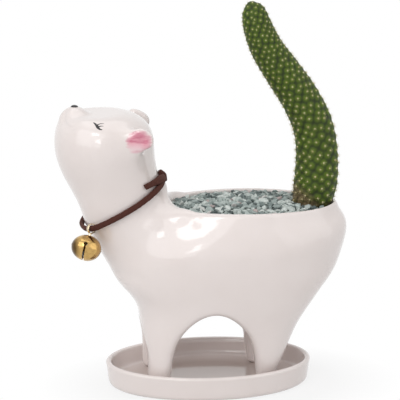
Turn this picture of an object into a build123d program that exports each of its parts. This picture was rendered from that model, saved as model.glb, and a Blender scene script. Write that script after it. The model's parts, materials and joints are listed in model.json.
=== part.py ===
from build123d import *
import math
import os

os.makedirs("parts", exist_ok=True)

# Sizes in millimetres. The cat looks towards -X, its tail end is +X, and +Z is up.
# The origin is the middle of the saucer's underside.

# The cat
cat_length = 145.0
cat_height = 138.0
body_width = 70.0
head_width = 55.0
wall = 3.5
basin_depth = 46.0
drain_diameter = 8.0
arch_height = 39.0
arch_lean = 0.3
arch_foot_span = 45.0
tunnel_width = 25.0
tunnel_height = 30.0
leg_round = 3.2
rim_round = 1.4
muzzle_length = 16.0
muzzle_width = 19.0
muzzle_height = 16.0
ear_length = 14.0
ear_height = 13.5
ear_thickness = 5.0
ear_spread = 45.0
ear_stagger = 2.4
ear_hollow = 1.8
ear_tilt_share = 0.10

# The saucer
saucer_end_room = 15.1
saucer_side_room = 6.7
saucer_height = 12.5
saucer_wall = 3.0
saucer_floor = 3.5
saucer_flare = 3.2
saucer_corner = 2.4
saucer_lip = 1.2

# The filling and the plant
fill_clearance = 0.2
soil_drop = 11.0
gravel_drop = 1.6
gravel_crown = 1.2
chip_length = 4.4
chip_width = 3.3
chip_height = 1.7
chip_spacing = 5.0
chip_wall_room = 3.4
chip_angle = 16.0
stem_diameter = 20.8
stem_height = 103.5
stem_root_depth = 8.0
stem_clearance = 0.3
bump_width = 6.4
bump_height = 0.75
bump_seat = 0.9
bump_spacing = 8.6
bump_taper_angle = 58.0

# The collar and the bell
lace_width = 3.0
lace_thickness = 1.3
lace_gap = 0.4
lace_lift = 2.3
lift_angle = 26.0
lift_spread_angle = 44.0
knot_length = 4.4
knot_height = 5.6
knot_round = 1.2
tail_reach = 12.0
tail_angle = 13.0
bell_diameter = 14.8
bell_height = 12.6
bell_wall = 0.7
bell_angle = 41.0
bell_drop = 8.8
bell_kick = 4.0
slot_width = 1.0
slot_hole_diameter = 2.0
slot_reach_share = 0.62
eye_wall = 0.5
eye_width = 1.6
eye_clearance = 0.45
shank_thickness = 1.2
stake_diameter = 3.2
stake_height = 0.5
stake_drop = 0.35
shank_clearance = 0.05
pellet_diameter = 4.6
pellet_clearance = 0.15

# One overrun serves all cuts. The other values set how finely curves are drawn.
overrun = 12.0
oval_points = 16
lace_points = 24
bell_inner_bands = 8
bell_outer_bands = 12
slot_turns = (45, 135)
golden_angle = 137.5

# Horizontal sections of the body from the feet to the rim: height as a share of cat_height,
# front and rear as shares of cat_length, width as a share of body_width, and how square it is.
body_section_shares = [
    (0.000, -0.219, 0.228, 0.660, 6.0),
    (0.076, -0.231, 0.244, 0.695, 5.0),
    (0.163, -0.238, 0.281, 0.745, 4.0),
    (0.236, -0.243, 0.319, 0.806, 3.2),
    (0.294, -0.257, 0.361, 0.866, 2.7),
    (0.352, -0.300, 0.404, 0.920, 2.4),
    (0.410, -0.341, 0.443, 0.965, 2.2),
    (0.467, -0.360, 0.463, 0.992, 2.1),
    (0.525, -0.345, 0.478, 1.000, 2.1),
    (0.583, -0.283, 0.475, 0.984, 2.0),
    (0.645, -0.186, 0.453, 0.930, 2.0),
]

# Tilted sections of the neck and head from the chest to the forehead: throat point and nape
# point as shares of cat_length and cat_height, width as a share of head_width, squareness.
collar_section_shares = (-0.428, 0.585, -0.1655, 0.738, 0.800, 2.0)
head_section_shares = (-0.525, 0.873, -0.188, 0.888, 1.000, 2.1)
neck_section_shares = [
    (-0.343, 0.452, -0.080, 0.588, 0.880, 2.0),
    collar_section_shares,
    (-0.470, 0.710, -0.177, 0.780, 0.850, 2.0),
    (-0.506, 0.786, -0.184, 0.826, 0.935, 2.0),
    head_section_shares,
    (-0.515, 0.945, -0.205, 0.943, 0.925, 2.1),
    (-0.485, 0.979, -0.244, 0.976, 0.750, 2.1),
    (-0.430, 0.985, -0.300, 0.991, 0.440, 2.0),
]

# The belly arch: across as a share of half its foot span, and height as a share of its height
arch_shares = [
    (-1.00, 0.000),
    (-0.93, 0.270),
    (-0.82, 0.590),
    (-0.58, 0.815),
    (0.00, 1.000),
    (0.58, 0.815),
    (0.82, 0.590),
    (0.93, 0.270),
    (1.00, 0.000),
]

# An ear's outline: along as a share of its length to the tip, up as a share of its height
ear_outline_shares = [
    (0.00, -0.42),
    (0.50, -0.50),
    (1.00, 0.06),
    (0.50, 0.50),
    (0.00, 0.42),
]
ear_middle_share = 0.48
ear_hollow_share = 0.76
ear_rise_share = 0.917
ear_root_share = 1.06

# The muzzle's middle behind the throat and below the crown, as shares of its own sizes
muzzle_set_share = 0.64
muzzle_drop_share = 0.38

# The basin's front wall leans under the neck, so it is thicker than the rest.
front_wall_share = 1.6

# A leg fillet is at most this share of the thinnest leg.
leg_round_limit_share = 0.36

# The cactus: distance off the tail end's seat and height as shares of stem_height, and
# thickness as a share of stem_diameter.
stem_section_shares = [
    (0.000, 0.000, 0.860),
    (0.018, 0.060, 1.000),
    (0.030, 0.144, 1.030),
    (0.030, 0.268, 0.975),
    (0.008, 0.391, 0.945),
    (-0.050, 0.515, 0.905),
    (-0.131, 0.637, 0.860),
    (-0.214, 0.759, 0.775),
    (-0.259, 0.861, 0.690),
    (-0.279, 0.930, 0.575),
    (-0.289, 0.962, 0.490),
    (-0.298, 0.988, 0.340),
    (-0.300, 0.998, 0.150),
]
stem_seat_share = 0.353

floor_z = saucer_floor
rim_z = floor_z + body_section_shares[-1][0] * cat_height
basin_floor_z = rim_z - basin_depth
soil_z = rim_z - soil_drop
gravel_z = rim_z - gravel_drop


def oval(plane, length, width, fullness):
    """A closed oval face on a plane; a fullness of 2 is an ellipse and more is squarer."""
    power = 2 / fullness
    points = []
    for step in range(oval_points):
        turn = 2 * math.pi * step / oval_points
        along = math.copysign(abs(math.cos(turn)) ** power, math.cos(turn))
        across = math.copysign(abs(math.sin(turn)) ** power, math.sin(turn))
        points.append((along * length / 2, across * width / 2))
    with BuildSketch(plane) as face:
        with BuildLine():
            Spline(*points, periodic=True)
        make_face()
    return face.sketch


def body_oval(row, shrink=0.0):
    """The body's outer oval at one row of its table, drawn in by shrink all round."""
    height, front, rear, width, fullness = row
    middle = (front + rear) / 2 * cat_length
    plane = Plane((middle, 0, floor_z + height * cat_height))
    length = (rear - front) * cat_length
    return oval(plane, length - 2 * shrink, width * body_width - 2 * shrink, fullness)


def neck_point(across, height):
    """A point of the middle plane from its two shares."""
    return Vector(across * cat_length, 0, floor_z + height * cat_height)


def neck_plane(row):
    """The tilted plane of a neck section, with X from the throat to the nape."""
    throat = neck_point(row[0], row[1])
    nape = neck_point(row[2], row[3])
    run = (nape - throat).normalized()
    return Plane((throat + nape) / 2, x_dir=run, z_dir=Vector(-run.Z, 0, run.X))


def neck_run(row):
    """The distance from the throat to the nape at a neck section."""
    return (neck_point(row[2], row[3]) - neck_point(row[0], row[1])).length


def neck_oval(row):
    """The neck's or head's outer oval at one row of its table."""
    return oval(neck_plane(row), neck_run(row), row[4] * head_width, row[5])


# The opening of the basin in plan and the hollow below it
rim_row = body_section_shares[-1]
opening_front = rim_row[1] * cat_length + wall * front_wall_share
opening_rear = rim_row[2] * cat_length - wall
opening_middle = (opening_front + opening_rear) / 2
opening_length = opening_rear - opening_front
opening_width = rim_row[3] * body_width - 2 * wall

# The muzzle stands at the throat side of the forehead.
muzzle_middle = Vector(
    head_section_shares[0] * cat_length + muzzle_length * muzzle_set_share,
    0,
    floor_z + cat_height - muzzle_height * muzzle_drop_share,
)


def ear_plane(side):
    """The plane of an ear's inner side, X towards its tip; a side of -1 is the near ear."""
    height = floor_z + cat_height * ear_rise_share
    nape = head_section_shares[2] * cat_length
    back = nape - ear_length * ear_root_share + side * ear_stagger / 2
    root = Vector(back, side * ear_spread / 2, height)
    return Plane(root, x_dir=(1, -side * ear_tilt_share, 0), z_dir=(ear_tilt_share, side, 0))


# Shares of the opening's length and width, and of the basin's depth, from the floor up
hollow_shares = [
    (0.000, 0.720, 0.640),
    (0.090, 0.830, 0.790),
    (0.250, 0.925, 0.920),
    (0.500, 0.990, 1.010),
    (0.760, 1.015, 1.045),
    (1.000, 1.000, 1.000),
]


def hollow_ovals(top, shrink):
    """The basin's ovals up to a height above its floor, drawn in by shrink."""
    faces = []
    for rise, along, across in hollow_shares:
        plane = Plane((opening_middle, 0, basin_floor_z + rise * basin_depth))
        faces.append(
            oval(plane, along * opening_length - 2 * shrink, across * opening_width - 2 * shrink, 2)
        )
    plane = Plane((opening_middle, 0, rim_z + top))
    faces.append(oval(plane, opening_length - 2 * shrink, opening_width - 2 * shrink, 2))
    return faces


# The planter: body, neck, head, muzzle and ears in one glazed casting
with BuildPart() as planter_body:
    loft(sections=[body_oval(row) for row in body_section_shares])

    # The outer edge of the rim is rounded before the neck grows over its front.
    fillet(planter_body.edges().group_by(Axis.Z)[-1], rim_round)

    # The belly arch between the front and the rear legs
    half = arch_foot_span / 2
    with BuildSketch(Plane.XZ.offset(-body_width)):
        with BuildLine():
            arch_line = Spline(
                *[(arch_lean + half * a, floor_z + arch_height * b) for a, b in arch_shares]
            )
            Polyline(
                arch_line @ 1,
                (arch_lean + half, floor_z - overrun),
                (arch_lean - half, floor_z - overrun),
                arch_line @ 0,
            )
        make_face()
    extrude(amount=2 * body_width, mode=Mode.SUBTRACT)

    # The tunnel between the left and the right legs
    with BuildSketch(Plane.YZ.offset(-cat_length / 2)):
        with BuildLine():
            tunnel_half = tunnel_width / 2
            tunnel_spring = floor_z + tunnel_height - tunnel_half
            arc = ThreePointArc(
                (-tunnel_half, tunnel_spring),
                (0, floor_z + tunnel_height),
                (tunnel_half, tunnel_spring),
            )
            Polyline(
                arc @ 1,
                (tunnel_half, floor_z - overrun),
                (-tunnel_half, floor_z - overrun),
                arc @ 0,
            )
        make_face()
    extrude(amount=cat_length, mode=Mode.SUBTRACT)

    # The legs' edges are rounded before the rest is added.
    leg_depth = (body_section_shares[0][3] * body_width - tunnel_width) / 2
    front_leg = arch_lean - half - body_section_shares[0][1] * cat_length
    rear_leg = body_section_shares[0][2] * cat_length - arch_lean - half
    leg_fillet = min(leg_round, leg_round_limit_share * min(leg_depth, front_leg, rear_leg))
    leg_edges = planter_body.edges().filter_by(
        lambda edge: floor_z + leg_round < edge.center().Z < floor_z + arch_height + leg_round
    )
    fillet(leg_edges, leg_fillet)

    # The neck and head grow out of the chest and the shoulders.
    loft(sections=[neck_oval(row) for row in neck_section_shares])

    # The muzzle
    muzzle = Sphere(muzzle_length / 2, mode=Mode.PRIVATE)
    muzzle = scale(
        muzzle, by=(1, muzzle_width / muzzle_length, muzzle_height / muzzle_length), mode=Mode.PRIVATE
    )
    add(muzzle.moved(Location(muzzle_middle)))

    # The hollow of the basin
    loft(sections=hollow_ovals(overrun, 0), mode=Mode.SUBTRACT)

    # The drain hole through the basin's floor
    with BuildSketch(Plane((opening_middle, 0, basin_floor_z))):
        Circle(drain_diameter / 2)
    extrude(amount=-basin_depth, both=True, mode=Mode.SUBTRACT)

    # Two ears, each a flap with a hollow outer side
    for side in (-1, 1):
        corners = [(ear_length * a, -side * ear_height * b) for a, b in ear_outline_shares]
        with BuildSketch(ear_plane(side)):
            with BuildLine():
                Spline(*corners)
                Line(corners[-1], corners[0])
            make_face()
        extrude(amount=ear_thickness)
        hollow = Sphere(ear_hollow, mode=Mode.PRIVATE)
        spread = ear_hollow_share * ear_height / 2 / ear_hollow
        hollow = scale(hollow, by=(spread, spread, 1), mode=Mode.PRIVATE)
        face = ear_plane(side).offset(ear_thickness)
        place = face * Location((ear_length * ear_middle_share, 0, 0))
        add(hollow.moved(place), mode=Mode.SUBTRACT)
planter_body.part.label = "planter_body"
export_step(planter_body.part, "parts/planter_body.step")

# The saucer: an oval dish with a flared wall and a rounded lip
feet_length = (body_section_shares[0][2] - body_section_shares[0][1]) * cat_length
feet_width = body_section_shares[0][3] * body_width
feet_middle = (body_section_shares[0][2] + body_section_shares[0][1]) / 2 * cat_length
saucer_length = feet_length + 2 * (saucer_end_room + saucer_wall) + saucer_flare
saucer_width = feet_width + 2 * (saucer_side_room + saucer_wall) + saucer_flare
base_length = saucer_length - saucer_flare
base_width = saucer_width - saucer_flare
flare_at_floor = saucer_flare * saucer_floor / saucer_height
with BuildPart() as saucer:
    with BuildSketch(Plane.XY):
        Ellipse(base_length / 2, base_width / 2)
    with BuildSketch(Plane.XY.offset(saucer_height)):
        Ellipse(saucer_length / 2, saucer_width / 2)
    loft()
    fillet(saucer.edges().group_by(Axis.Z)[0], saucer_corner)
    with BuildSketch(Plane.XY.offset(saucer_floor)):
        Ellipse(
            (base_length + flare_at_floor) / 2 - saucer_wall,
            (base_width + flare_at_floor) / 2 - saucer_wall,
        )
    with BuildSketch(Plane.XY.offset(saucer_height)):
        Ellipse(saucer_length / 2 - saucer_wall, saucer_width / 2 - saucer_wall)
    loft(mode=Mode.SUBTRACT)
    fillet(saucer.edges().group_by(Axis.Z)[-1], saucer_lip)
saucer.part.label = "saucer"
export_step(saucer.part, "parts/saucer.step")

# The filling: soil with a seat for the root, and gravel level with the rim
stem_seat_x = stem_seat_share * cat_length
stem_base_radius = stem_section_shares[0][2] * stem_diameter / 2
root_z = soil_z - stem_root_depth

with BuildPart() as potting_soil:
    loft(sections=hollow_ovals(overrun, fill_clearance))
    split(bisect_by=Plane.XY.offset(soil_z), keep=Keep.BOTTOM)
    with BuildSketch(Plane((stem_seat_x, 0, root_z))):
        Circle(stem_base_radius + stem_clearance)
    extrude(amount=stem_root_depth + overrun, mode=Mode.SUBTRACT)
potting_soil.part.label = "potting_soil"
export_step(potting_soil.part, "parts/potting_soil.step")

with BuildPart() as gravel:
    loft(sections=hollow_ovals(overrun, fill_clearance))
    split(bisect_by=Plane.XY.offset(soil_z), keep=Keep.TOP)
    split(bisect_by=Plane.XY.offset(gravel_z), keep=Keep.BOTTOM)
    # The heap is a little higher in its middle.
    heap_length = opening_length - 2 * chip_wall_room
    heap_width = opening_width - 2 * chip_wall_room
    with BuildSketch(Plane((opening_middle, 0, gravel_z))):
        Ellipse(heap_length / 2, heap_width / 2)
    with BuildSketch(Plane((opening_middle, 0, gravel_z + gravel_crown))):
        Ellipse(heap_length / 4, heap_width / 4)
    loft()
    # The stem's hole, wider above the rim's level where the stem swells
    with BuildSketch(Plane((stem_seat_x, 0, soil_z))):
        Circle(stem_base_radius + stem_clearance)
    extrude(amount=soil_drop + overrun, mode=Mode.SUBTRACT)
    with BuildSketch(Plane((stem_seat_x, 0, gravel_z))):
        Circle(stem_diameter / 2 + stem_clearance)
    extrude(amount=overrun, mode=Mode.SUBTRACT)
    # Chips of slate lie on the heap in rows, each turned and tilted by its number.
    chip = Box(chip_length, chip_width, chip_height, mode=Mode.PRIVATE)
    rows = int(heap_width / chip_spacing / 2) + 1
    columns = int(heap_length / chip_spacing / 2) + 1
    places = []
    for row in range(-rows, rows + 1):
        for column in range(-columns, columns + 1):
            along = (column + row % 2 / 2) * chip_spacing
            across = row * chip_spacing
            reach = math.hypot(2 * along / heap_length, 2 * across / heap_width)
            from_stem = math.hypot(opening_middle + along - stem_seat_x, across)
            if reach < 1 and from_stem > stem_diameter / 2 + chip_wall_room:
                lift = gravel_z + gravel_crown * min(1, 2 - 2 * reach)
                number = len(places)
                places.append(
                    Location(
                        (opening_middle + along, across, lift),
                        (
                            chip_angle * math.sin(5 * number + 1),
                            chip_angle * math.sin(3 * number + 2),
                            golden_angle * number,
                        ),
                    )
                )
    add([chip.moved(place) for place in places])
gravel.part.label = "gravel"
export_step(gravel.part, "parts/gravel.step")


# The cactus that stands in for the tail
def stem_point(index):
    """The middle of the stem at one row of its table."""
    across, height, _ = stem_section_shares[index]
    return Vector(stem_seat_x + across * stem_height, 0, gravel_z + height * stem_height)


def stem_ring(index):
    """A round section of the stem, square to the line between its neighbours."""
    last = len(stem_section_shares) - 1
    run = stem_point(min(index + 1, last)) - stem_point(max(index - 1, 0))
    if index == 0:
        run = Vector(0, 0, 1)
    plane = Plane(stem_point(index), x_dir=(0, 1, 0), z_dir=run)
    with BuildSketch(plane) as ring:
        Circle(stem_section_shares[index][2] * stem_diameter / 2)
    return ring.sketch


def bump_places():
    """Where the bumps stand, square to the stem's skin, from above the gravel to the tip."""
    places = []
    rise = 2 * bump_spacing
    while rise < stem_section_shares[-1][1] * stem_height - bump_spacing:
        share = rise / stem_height
        index = 1
        while stem_section_shares[index + 1][1] < share:
            index += 1
        low = stem_section_shares[index][1]
        high = stem_section_shares[index + 1][1]
        rest = (share - low) / (high - low)
        middle = stem_point(index) + (stem_point(index + 1) - stem_point(index)) * rest
        run = (stem_point(index + 1) - stem_point(index)).normalized()
        thick = stem_section_shares[index][2] * (1 - rest) + stem_section_shares[index + 1][2] * rest
        radius = thick * stem_diameter / 2
        ring = Plane(middle, x_dir=(0, 1, 0), z_dir=run)
        turn = math.radians(golden_angle * len(places))
        out = ring.x_dir * math.cos(turn) + ring.y_dir * math.sin(turn)
        seat = middle + out * (radius - bump_seat)
        places.append(Plane(seat, x_dir=run, z_dir=out).location)
        rise += bump_spacing ** 2 / (2 * math.pi * radius)
    return places


with BuildPart() as cactus_stem:
    loft(sections=[stem_ring(index) for index in range(len(stem_section_shares))])
    with BuildSketch(Plane((stem_seat_x, 0, root_z))):
        Circle(stem_base_radius)
    extrude(amount=gravel_z - root_z)
    # Low four-sided bumps go up the stem in a spiral.
    with BuildSketch(mode=Mode.PRIVATE) as bump_foot:
        RegularPolygon(bump_width / 2, 4)
    bump = extrude(
        bump_foot.sketch, amount=bump_seat + bump_height, taper=bump_taper_angle, mode=Mode.PRIVATE
    )
    add([bump.moved(place) for place in bump_places()])
cactus_stem.part.label = "cactus_stem"
export_step(cactus_stem.part, "parts/cactus_stem.step")


# The collar lace: a flat suede thong round the neck, lifted at the throat by the bell's eye
collar = neck_plane(collar_section_shares)
collar_length = neck_run(collar_section_shares)
collar_width = collar_section_shares[4] * head_width


def lace_point(turn, outward):
    """A point of the lace in the collar's plane, turned from the throat to the near side."""
    near_bell = math.exp(-(((turn + 180) % 360 - 180 - lift_angle) / lift_spread_angle) ** 2)
    angle = math.radians(turn)
    half_length = collar_length / 2
    half_width = collar_width / 2
    normal = Vector(-math.cos(angle) / half_length, -math.sin(angle) / half_width).normalized()
    seat = Vector(-math.cos(angle) * half_length, -math.sin(angle) * half_width)
    return seat + normal * (lace_gap + lace_lift * near_bell + outward)


def lace_outline(outward):
    """The closed outline of the lace at a distance from its inner side."""
    turns = [360 * step / lace_points for step in range(lace_points)]
    with BuildSketch() as face:
        with BuildLine():
            Spline(*[lace_point(turn, outward) for turn in turns], periodic=True)
        make_face()
    return face.sketch


nape_x = lace_point(180, lace_thickness).X
with BuildPart() as collar_lace:
    with BuildSketch(collar):
        add(lace_outline(lace_thickness))
        add(lace_outline(0), mode=Mode.SUBTRACT)
    extrude(amount=lace_width / 2, both=True)
    # The loose end lies over the lace from the nape to the near side and points up.
    tail_plane = collar.rotated((-tail_angle, 0, 0))
    with BuildSketch(tail_plane):
        add(lace_outline(2 * lace_thickness))
        add(lace_outline(lace_thickness), mode=Mode.SUBTRACT)
        with Locations((nape_x, -tail_reach / 2)):
            Rectangle(collar_length, tail_reach, mode=Mode.INTERSECT)
    extrude(amount=lace_width / 2, both=True)
    # The knot at the nape
    knot_depth = 2 * lace_thickness + lace_gap
    with BuildSketch(collar):
        with Locations((nape_x + lace_thickness - knot_depth / 2 + lace_gap, 0)):
            RectangleRounded(knot_depth, knot_length, knot_round)
    extrude(amount=knot_height / 2, both=True)
    # The lace lies on the glaze wherever the neck flares.
    add(planter_body.part, mode=Mode.SUBTRACT)
collar_lace.part.label = "collar_lace"
export_step(collar_lace.part, "parts/collar_lace.step")

# The jingle bell hangs from the lace and leans on the chest.
eye_inner_radius = math.hypot(lace_width, lace_thickness) / 2 + eye_clearance
eye_place = lace_point(bell_angle, lace_thickness / 2)
eye_middle = collar.from_local_coords(eye_place)
lace_ahead = collar.from_local_coords(lace_point(bell_angle + 1, lace_thickness / 2))
lace_run = (lace_ahead - eye_middle).normalized()
outward_run = (eye_middle - collar.origin)
outward_run = Vector(outward_run.X, outward_run.Y, 0).normalized()
bell_middle = eye_middle + outward_run * bell_kick - Vector(0, 0, bell_drop)
bell_up = (eye_middle - bell_middle).normalized()
swing_run = (lace_run - bell_up * lace_run.dot(bell_up)).normalized()
bell_plane = Plane(bell_middle, x_dir=swing_run, z_dir=bell_up)
bell_radius = bell_diameter / 2
half_height = bell_height / 2
slot_top = slot_reach_share * bell_height - half_height


def bell_point(step, bands, inset):
    """A corner of the bell's wall in bands, from its foot to its crown, drawn in by inset."""
    rise = math.pi * (step / bands - 1 / 2)
    return ((bell_radius - inset) * math.cos(rise), (half_height - inset) * math.sin(rise))


def bell_outline(bands, inset):
    """The closed half outline of the bell's wall from its foot to its crown."""
    return Polyline(*[bell_point(step, bands, inset) for step in range(bands + 1)], close=True)


with BuildPart() as bell_shell:
    with BuildSketch(Plane(bell_middle, x_dir=swing_run, z_dir=swing_run.cross(bell_up))):
        with BuildLine():
            bell_outline(bell_outer_bands, 0)
        make_face()
        with BuildLine():
            bell_outline(bell_inner_bands, bell_wall)
        make_face(mode=Mode.SUBTRACT)
    revolve(axis=Axis(bell_middle, bell_up))
    # Two crossing slots leave four petals, each slot ending in a round hole.
    for turn in slot_turns:
        slot_plane = bell_plane.rotated((0, 0, turn))
        with BuildSketch(slot_plane.offset(slot_top)):
            Rectangle(2 * bell_diameter, slot_width)
        extrude(amount=-bell_height, mode=Mode.SUBTRACT)
        hole_middle = slot_plane.from_local_coords((0, 0, slot_top))
        hole_plane = Plane(hole_middle, x_dir=bell_up, z_dir=slot_plane.x_dir)
        with BuildSketch(hole_plane):
            Circle(slot_hole_diameter / 2)
        extrude(amount=bell_diameter, both=True, mode=Mode.SUBTRACT)
    with BuildSketch(bell_plane):
        Rectangle(eye_width + 2 * shank_clearance, shank_thickness + 2 * shank_clearance)
    extrude(amount=bell_height, mode=Mode.SUBTRACT)
bell_shell.part.label = "bell_shell"
export_step(bell_shell.part, "parts/bell_shell.step")

# The eye is a strip bent into a loop, its two tails riveted inside the crown.
shank_foot = half_height - bell_wall - stake_drop
eye_rise = (eye_middle - bell_middle).length
with BuildPart() as bell_eye:
    with BuildSketch(Plane(eye_middle, x_dir=bell_up, z_dir=swing_run)):
        Circle(eye_inner_radius + eye_wall)
        Circle(eye_inner_radius, mode=Mode.SUBTRACT)
    extrude(amount=eye_width / 2, both=True)
    with BuildSketch(bell_plane.offset(shank_foot - stake_height)):
        Circle(stake_diameter / 2)
    extrude(amount=stake_height)
    with BuildSketch(bell_plane.offset(shank_foot - stake_height)):
        Rectangle(eye_width, shank_thickness)
    extrude(amount=eye_rise - eye_inner_radius - eye_wall / 2 - shank_foot + stake_height)
bell_eye.part.label = "bell_eye"
export_step(bell_eye.part, "parts/bell_eye.step")

pellet_drop = half_height - bell_wall - pellet_diameter / 2 - pellet_clearance
pellet_middle = bell_middle - Vector(0, 0, pellet_drop)
with BuildPart() as bell_pellet:
    with BuildSketch(Plane(pellet_middle)):
        Circle(pellet_diameter / 2)
        with Locations((-pellet_diameter / 2, 0)):
            Rectangle(pellet_diameter, 2 * pellet_diameter, mode=Mode.SUBTRACT)
    revolve(axis=Axis(pellet_middle, (0, 1, 0)))
bell_pellet.part.label = "bell_pellet"
export_step(bell_pellet.part, "parts/bell_pellet.step")
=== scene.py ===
"""Studio picture of a glazed cat planter with its saucer, gravel, cactus, lace and bell."""

import json
import logging
import math
import random
from collections.abc import Callable, Iterable
from dataclasses import dataclass
from enum import Enum

import bpy
import numpy as np
from mathutils import Matrix, Vector, noise
from mathutils.bvhtree import BVHTree

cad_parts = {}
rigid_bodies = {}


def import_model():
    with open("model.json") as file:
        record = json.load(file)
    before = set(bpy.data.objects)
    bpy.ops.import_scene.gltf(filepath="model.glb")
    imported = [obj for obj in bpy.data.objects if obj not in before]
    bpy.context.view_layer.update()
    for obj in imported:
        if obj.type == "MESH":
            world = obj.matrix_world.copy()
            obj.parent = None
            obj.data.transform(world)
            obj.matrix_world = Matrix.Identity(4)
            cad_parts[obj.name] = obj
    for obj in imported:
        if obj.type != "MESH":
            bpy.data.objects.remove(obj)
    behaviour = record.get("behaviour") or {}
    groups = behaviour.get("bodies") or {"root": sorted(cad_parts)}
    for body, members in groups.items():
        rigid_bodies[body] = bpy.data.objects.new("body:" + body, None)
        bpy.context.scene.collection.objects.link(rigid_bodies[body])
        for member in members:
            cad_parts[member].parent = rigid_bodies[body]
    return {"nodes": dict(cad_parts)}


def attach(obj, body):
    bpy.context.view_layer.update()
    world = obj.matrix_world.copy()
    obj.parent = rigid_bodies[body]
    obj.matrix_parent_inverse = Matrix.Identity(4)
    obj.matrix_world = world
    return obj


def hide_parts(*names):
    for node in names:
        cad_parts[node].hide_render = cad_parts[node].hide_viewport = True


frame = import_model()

LOG = logging.getLogger("cat_planter")
MM = 0.001
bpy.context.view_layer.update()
NOISE_SEED = 1796025170
Place = Callable[[int, float], Vector]
Triple = tuple[float, float, float]
Colour = tuple[float, float, float, float]
Piece = bpy.types.Object
Socket = bpy.types.NodeSocket


class Rider(Enum):
    """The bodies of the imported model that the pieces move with."""

    SAUCER = "saucer"
    PLANTER = "planter"
    BELL = "bell"
    PELLET = "pellet"


class Side(Enum):
    """The cat's two sides, by the sign of Y."""

    NEAR = -1
    FAR = 1


def colour(red: float, green: float, blue: float) -> Colour:
    """Turns a display colour into the shader's linear one.

    Args:
        red: Red from 0 to 255.
        green: Green from 0 to 255.
        blue: Blue from 0 to 255.

    Returns:
        The linear colour with an alpha of 1.
    """
    shares = [value / 255 for value in (red, green, blue)]
    linear = [s / 12.92 if s <= 0.04045 else ((s + 0.055) / 1.055) ** 2.4 for s in shares]
    return (linear[0], linear[1], linear[2], 1.0)


def smooth_step(value: float) -> float:
    """Eases a value from 0 to 1."""
    held = min(max(value, 0.0), 1.0)
    return held * held * (3 - 2 * held)


def pick(*objects: Piece) -> None:
    """Selects these objects alone, the first as the active one."""
    if bpy.context.mode != "OBJECT":
        bpy.ops.object.mode_set(mode="OBJECT")
    bpy.ops.object.select_all(action="DESELECT")
    for item in objects:
        item.select_set(True)
    bpy.context.view_layer.objects.active = objects[0]


def apply_modifier(piece: Piece, kind: str, **settings: object) -> None:
    """Adds a modifier to a piece and applies it.

    Args:
        piece: The mesh object.
        kind: The modifier's type.
        settings: The modifier's own settings.
    """
    pick(piece)
    modifier = piece.modifiers.new(kind.title(), kind)
    for key, value in settings.items():
        setattr(modifier, key, value)
    bpy.ops.object.modifier_apply(modifier=modifier.name)


def edit_all(piece: Piece, *steps: Callable[[], object]) -> None:
    """Runs edit-mode steps on a piece with all of it selected.

    Args:
        piece: The mesh object.
        steps: Operators to call in edit mode, in order.
    """
    pick(piece)
    bpy.ops.object.mode_set(mode="EDIT")
    bpy.ops.mesh.select_all(action="SELECT")
    for step in steps:
        step()
    bpy.ops.object.mode_set(mode="OBJECT")


def settle(piece: Piece, angle: float = 40.0) -> Piece:
    """Puts a piece's place into its mesh and shades it smooth by angle.

    Args:
        piece: The mesh object.
        angle: The angle in degrees above which an edge stays sharp.

    Returns:
        The same piece.
    """
    pick(piece)
    bpy.ops.object.transform_apply(location=True, rotation=True, scale=True)
    bpy.ops.object.shade_smooth_by_angle(angle=math.radians(angle))
    return piece


def primitive(adder: Callable[..., object], name: str, **settings: object) -> Piece:
    """Adds a primitive mesh under a name and selects it alone.

    Args:
        adder: The operator that adds it.
        name: The piece's name.
        settings: The operator's own settings.

    Returns:
        The new piece.
    """
    pick(next(iter(bpy.context.scene.objects)))
    adder(**settings)
    piece = bpy.context.active_object
    piece.name = name
    piece.data.name = name
    pick(piece)
    return piece


def ringed(name: str, sides: int, rings: int, place: Place) -> Piece:
    """Models a tube from a circle by extruding it ring after ring, and lays each ring in place.

    Args:
        name: The piece's name.
        sides: The number of corners of each ring.
        rings: The number of rings.
        place: Gives a corner's point from its ring and its turn in radians.

    Returns:
        The tube, with seams and poles closed where its rings meet.
    """
    tube = primitive(bpy.ops.mesh.primitive_circle_add, name, vertices=sides, radius=1.0,
                     fill_type="NOTHING")
    bpy.ops.object.mode_set(mode="EDIT")
    bpy.ops.mesh.select_all(action="SELECT")
    for _ in range(rings - 1):
        bpy.ops.mesh.extrude_region_move(TRANSFORM_OT_translate={"value": (0, 0, 1)})
    bpy.ops.object.mode_set(mode="OBJECT")
    for vertex in tube.data.vertices:
        turn = math.atan2(vertex.co.y, vertex.co.x) % math.tau
        vertex.co = place(round(vertex.co.z), turn)
    edit_all(tube, lambda: bpy.ops.mesh.remove_doubles(threshold=0.01 * MM),
             lambda: bpy.ops.mesh.normals_make_consistent(inside=False))
    return tube


def close_ends(tube: Piece, sides: int) -> None:
    """Fills a tube's open ends, of so many corners, and turns its faces outwards."""
    edit_all(tube, lambda: bpy.ops.mesh.select_all(action="DESELECT"),
             lambda: bpy.ops.mesh.select_non_manifold(),
             lambda: bpy.ops.mesh.fill_holes(sides=sides),
             lambda: bpy.ops.mesh.select_all(action="SELECT"),
             lambda: bpy.ops.mesh.normals_make_consistent(inside=False))


def merged_copy(node: str, name: str) -> Piece:
    """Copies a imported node's mesh into a new object and merges its loose triangles."""
    copy = bpy.data.objects.new(name, frame["nodes"][node].data.copy())
    bpy.context.scene.collection.objects.link(copy)
    edit_all(copy, lambda: bpy.ops.mesh.remove_doubles(threshold=0.002 * MM))
    return copy


def joined(pieces: list[Piece], name: str) -> Piece:
    """Joins pieces into one object under a name."""
    pick(*pieces)
    bpy.ops.object.join()
    whole = bpy.context.active_object
    whole.name = name
    whole.data.name = name
    return whole


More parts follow.
